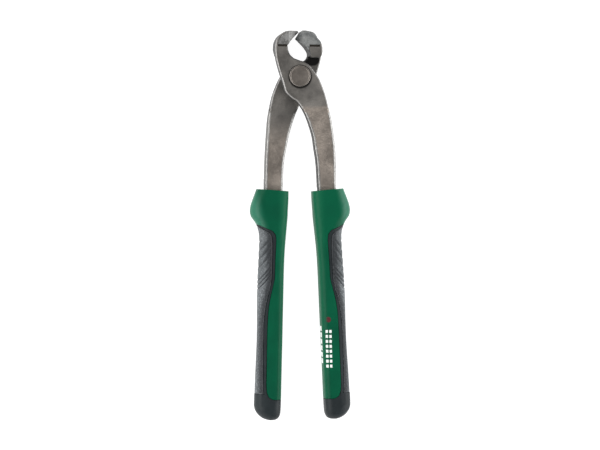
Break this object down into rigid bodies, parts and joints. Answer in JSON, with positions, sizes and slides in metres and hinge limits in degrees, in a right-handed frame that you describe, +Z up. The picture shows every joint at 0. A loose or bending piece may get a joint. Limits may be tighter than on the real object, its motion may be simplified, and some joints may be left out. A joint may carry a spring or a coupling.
{
  "type": "parrot-beak tile nippers",
  "caption": "Hand nippers with two crossed forged levers on a rivet, brazed carbide beak tips and moulded grips.",
  "frame": {"origin": "on the rivet's axis, at the flat of its lower head, in the plane the tool lies on", "axes": "+Z up along the rivet's axis, +Y along the tool from the grips to the jaws, +X to the right seen from above"},
  "size_m": [0.065, 0.2501, 0.017],
  "materials": {
    "lever_steel": "forged steel, satin, browned by heat treatment, oiled",
    "rivet_steel": "turned and peened steel, satin",
    "carbide": "sintered tungsten carbide, finely ground",
    "braze": "oxidised braze filler, nearly black",
    "grip_green": "hard polypropylene, dark green, half gloss",
    "grip_grey": "soft overmould, smooth, dark slate grey",
    "pad_grey": "soft overmould, slate grey, with ridges and a fine grain"
  },
  "bodies": {
    "back_lever": {"back_lever": "lever_steel", "right_jaw_tip": "carbide", "right_tip_braze": "braze", "pivot_rivet": "rivet_steel", "left_grip_shell": "grip_green", "left_grip_overmould": "grip_grey", "left_grip_pad": "pad_grey"},
    "front_lever": {"front_lever": "lever_steel", "left_jaw_tip": "carbide", "left_tip_braze": "braze", "right_grip_shell": "grip_green", "right_grip_overmould": "grip_grey", "right_grip_pad": "pad_grey"}
  },
  "joints": [
    {"name": "jaw_pivot", "type": "hinge", "parent": "back_lever", "child": "front_lever", "pos_m": [0, 0, 0.0085], "axis": [0, 0, 1], "range_deg": [-1.4, 48]}
  ]
}
